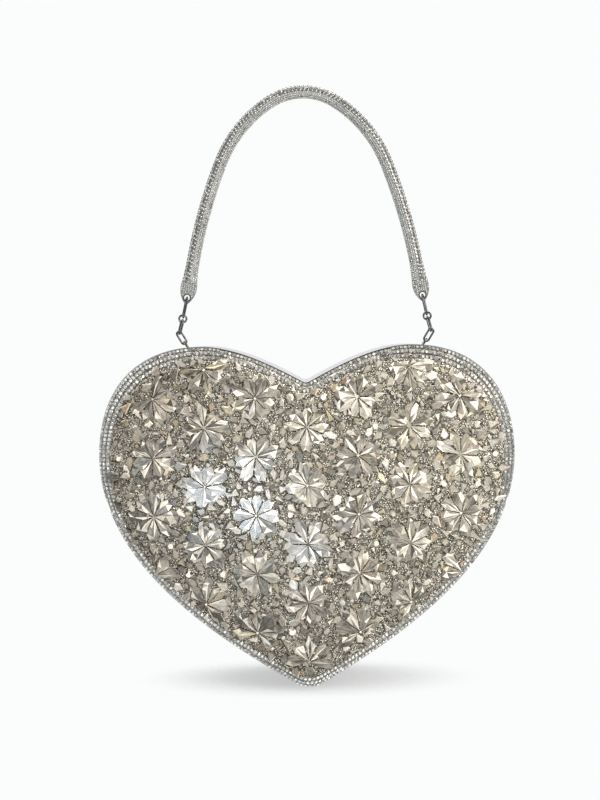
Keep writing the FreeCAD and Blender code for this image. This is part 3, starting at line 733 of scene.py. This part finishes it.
rings, around = strap["meshGrid"]
meshRun = np.linspace(-arcEnds[-1], arcEnds[-1], rings)[:, None]
meshTurn = np.arange(around)[None] / around * 2 * np.pi
meshPlace = strapSurface(strap["bed"], *np.broadcast_arrays(meshRun, meshTurn))[0]
finishPiece(gridMesh("strap_mesh", meshPlace), meshPlate, "handle", "rhinestone_mesh", "handle_sleeve")
each = int(2 * arcEnds[-1] / strap["pitch"])
row = np.arange(strap["rows"])[None]
stoneRun = (np.arange(each)[:, None] + 0.25 + 0.5 * (row % 2)) * strap["pitch"] - arcEnds[-1]
stoneTurn = np.broadcast_to(row / strap["rows"] * 2 * np.pi, stoneRun.shape)
seat = strap["bed"] + strap["sink"]
stonePlace, stoneAim, stoneFace = [g.reshape(-1, 3) for g in strapSurface(seat, stoneRun, stoneTurn)]
tinyCut = cutStone(5, 0.6, 0.45)
strapCount = len(stonePlace)
tone, hue = facets(rng, strapCount, tinyCut, strap)
dash = np.where(np.arange(each)[:, None] % 2 == 0, *strap["ropeTone"]) * np.isin(row, strap["roped"])
tone += dash.ravel()[:, None]  # light and dark by turns along the roped rows
seam = np.broadcast_to(row == strap["seam"], stoneRun.shape).ravel()
tone[seam] *= np.where(rng.random((int(seam.sum()), 1)) < 0.5, strap["seamTone"], 1.0)
stoneFrames = (stonePlace, stoneAim, np.cross(stoneFace, stoneAim), stoneFace)
stoneSize = np.tile([*strap["stone"], seat], (strapCount, 1))
strapStones = setStones("strap_stones", tinyCut, stoneFrames, stoneSize, np.clip(tone, 0, 1), hue)
finishPiece(strapStones, rowGlass, "handle", "rhinestone_mesh")

tab = {"start": 4.0 * mm, "wide": 4.15 * mm, "shoulder": 2.6 * mm, "half": 1.1 * mm, "eyelet": 3.8 * mm,
       "clear": 2.35 * mm, "first": 0.5 * mm, "columns": 7, "apart": 1.15 * mm, "margin": 0.25 * mm}
lineX, lineZ, lineTurn = fineX[-1], fineZ[-1], fineTurn[-1]
tabStep = np.arange(tab["first"], strap["tab"], strap["pitch"])
column = np.arange(tab["columns"])
tabRun, tabAside = [g.ravel() for g in np.meshgrid(tabStep, (column - tab["columns"] // 2) * tab["apart"])]
tabRun = tabRun + np.repeat(column % 2, len(tabStep)) * strap["pitch"] / 2
nose = np.clip((tabRun - tab["shoulder"]) / (strap["tab"] - tab["shoulder"]), 0, 1)
edge = np.interp(tabRun, [0, tab["shoulder"]], [tab["start"], tab["wide"]]) * np.sqrt(1 - nose)
eyeletRun = strap["tab"] - tab["eyelet"]
fits = (tabRun < eyeletRun) & (np.abs(tabAside) < edge - tab["margin"])
fits &= np.hypot(tabRun - eyeletRun, tabAside) > tab["clear"]
tabRun, tabAside = tabRun[fits], tabAside[fits]
tabPlaces, tabAims, tabNormals = [], [], []
for hand in (1, -1):
    along = np.array([hand * math.cos(lineTurn), 0, -math.sin(lineTurn)])
    across = np.array([hand * math.sin(lineTurn), 0, math.cos(lineTurn)])
    spread = tabRun[:, None] * along + tabAside[:, None] * across
    for facing in (-1, 1):
        tabPlaces.append(np.array([hand * lineX, facing * tab["half"], lineZ]) + spread)
        tabAims.append(np.tile(along, (len(tabRun), 1)))
        tabNormals.append(np.tile([0.0, facing, 0.0], (len(tabRun), 1)))
tabPlace, tabAim, tabFace = [np.vstack(g) for g in (tabPlaces, tabAims, tabNormals)]
count = len(tabPlace)
tone, hue = facets(rng, count, tinyCut, strap)
tabStones = setStones("tab_stones", tinyCut, (tabPlace, tabAim, np.cross(tabFace, tabAim), tabFace),
                      np.tile([*strap["stone"], strap["bed"]], (count, 1)), tone, hue)
finishPiece(tabStones, rowGlass, "handle", "rhinestone_mesh")
print("strap stones", strapCount, "tab stones", count)

camera = {
    "eye": (-0.0027, rimLow.y - 0.6, rimHigh.z + 0.00525),
    "fieldHigh": 2 * math.atan(400 / 1203),  # half the picture's height over its focal length, in pixels
    "drop": 65 / 800,  # share of the picture's height
    "roll": 0.7,
}
lens = bpy.data.cameras.new("camera")
lens.sensor_fit = "VERTICAL"
lens.sensor_height = 24.0
lens.lens = lens.sensor_height / 2 / math.tan(camera["fieldHigh"] / 2)
lens.shift_y = -camera["drop"]
lens.clip_start = 0.01
eyeObject = bpy.data.objects.new("camera", lens)
bpy.context.scene.collection.objects.link(eyeObject)
upright = Matrix.Rotation(math.radians(90), 4, "X") @ Matrix.Rotation(math.radians(-camera["roll"]), 4, "Z")
eyeObject.matrix_world = Matrix.Translation(camera["eye"]) @ upright
bpy.context.scene.camera = eyeObject

backdrop = (0.965, 0.982, 0.982, 1)
ground = {"half": 6.0, "drop": 0.4 * mm, "matt": (0.3, 0.304, 0.304, 1), "glow": 0.41,
          "shadowShift": (0.0, -0.003, 0.0), "shadowHalf": (0.058, 0.025), "fade": (0.45, 1.6)}
floorMesh = bpy.data.meshes.new("floor")
floorZ = cadLow.z - ground["drop"]
floorCorners = np.array([(-1, -1, 0), (1, -1, 0), (1, 1, 0), (-1, 1, 0)]) * ground["half"] + (0, 0, floorZ)
floorMesh.from_pydata(floorCorners, [], [(0, 1, 2, 3)])
floor = bpy.data.objects.new("floor", floorMesh)
bpy.context.scene.collection.objects.link(floor)
paper, sweep = startMaterial("studioPaper")  # white sweep: a soft shadow near the purse, plain white far off
matt = addNode(sweep, "BsdfDiffuse", {"Color": ground["matt"]})
glow = addNode(sweep, "Emission", {"Color": (1, 1, 1, 1), "Strength": ground["glow"]})
shaded = addNode(sweep, "AddShader", {0: matt.outputs[0], 1: glow.outputs[0]})
white = addNode(sweep, "Emission", {"Color": backdrop, "Strength": 1.0})
clear = addNode(sweep, "BsdfTransparent")  # the open lid dips below the floor, and shows through it
rays = addNode(sweep, "LightPath").outputs
through = addNode(sweep, "Math", {0: rays["Is Camera Ray"], 1: rays["Is Shadow Ray"]}, operation="MAXIMUM")
far = addNode(sweep, "MixShader", {0: through.outputs["Value"], 1: white.outputs[0], 2: clear.outputs[0]})
onFloor = addNode(sweep, "TexCoord").outputs["Object"]
under = addNode(sweep, "VectorMath", {0: onFloor, 1: ground["shadowShift"]}, operation="ADD")
perHalf = (1 / ground["shadowHalf"][0], 1 / ground["shadowHalf"][1], 0.0)
scaled = addNode(sweep, "VectorMath", {0: under.outputs["Vector"], 1: perHalf}, operation="MULTIPLY")
distance = addNode(sweep, "VectorMath", {0: scaled.outputs["Vector"]}, operation="LENGTH")
fade = addNode(sweep, "MapRange", {"Value": distance.outputs["Value"], "From Min": ground["fade"][0],
                                   "From Max": ground["fade"][1]}, interpolation_type="SMOOTHSTEP")
both = addNode(sweep, "MixShader", {0: fade.outputs["Result"], 1: shaded.outputs[0], 2: far.outputs[0]})
addNode(sweep, "OutputMaterial", {"Surface": both.outputs[0]})
floor.data.materials.append(paper)

world = bpy.data.worlds.new("room")
bpy.context.scene.world = world
world.use_nodes = True
room = world.node_tree
room.nodes.clear()
way = addNode(room, "SeparateXYZ", {"Vector": addNode(room, "TexCoord").outputs["Generated"]})
fromFront = addNode(room, "MapRange", {"Value": way.outputs["Y"], "From Min": -1.0, "From Max": 0.6})
roomStops = [(0.0, "#6e6e6e"), (0.35, "#d2d2d2"), (0.6, "#f6f6f6"), (1.0, "#efefef")]
light = addNode(room, "ValToRGB", {"Fac": fromFront.outputs["Result"]}, roomStops).outputs["Color"]
seen = addNode(room, "LightPath").outputs["Is Camera Ray"]
shown = addNode(room, "Mix", {"Factor": seen, "A": light, "B": backdrop}, data_type="RGBA")
sky = addNode(room, "Background", {"Color": shown.outputs[2], "Strength": 1.0})
addNode(room, "OutputWorld", {"Surface": sky.outputs[0]})


def softBox(name, place, aim, wide, high, power, colour):
    # a broad rectangular lamp, turned from its place to its aim
    lamp = bpy.data.lights.new(name, "AREA")
    lamp.shape = "RECTANGLE"
    lamp.size = wide
    lamp.size_y = high
    lamp.energy = power
    lamp.color = colour
    made = bpy.data.objects.new(name, lamp)
    bpy.context.scene.collection.objects.link(made)
    made.location = place
    made.rotation_euler = (Vector(aim) - Vector(place)).to_track_quat("-Z", "Y").to_euler()


middle = (0, 0, heart["mid"])
softBox("keyLamp", (-0.6, -1.1, 0.5), middle, 0.7, 0.7, 3.8, (0.97, 0.99, 1))
softBox("fillLamp", (0.55, -0.65, 0.2), middle, 0.4, 0.5, 6.8, (1, 0.97, 0.92))
softBox("topLamp", (0.0, 0.02, 0.9), middle, 0.8, 0.8, 10, (1, 1, 1))
spark = {"side": 0.024, "colour": (0.8, 0.91, 1), "aimDepth": -0.035,
         "at": [(-0.0814, -0.4466, -0.2509), (-0.0401, -0.4466, -0.2594), (0.0012, -0.329, -0.281)],
         "power": [0.096, 0.13, 0.045]}
for i, ((x, y, z), power) in enumerate(zip(spark["at"], spark["power"])):
    sparkAim = (x * 0.6, spark["aimDepth"], z * 0.8)
    softBox("sparkLamp%d" % i, (x, y, z), sparkAim, spark["side"], spark["side"], power, spark["colour"])
bpy.context.scene.view_settings.view_transform = "Standard"

print("looks done")
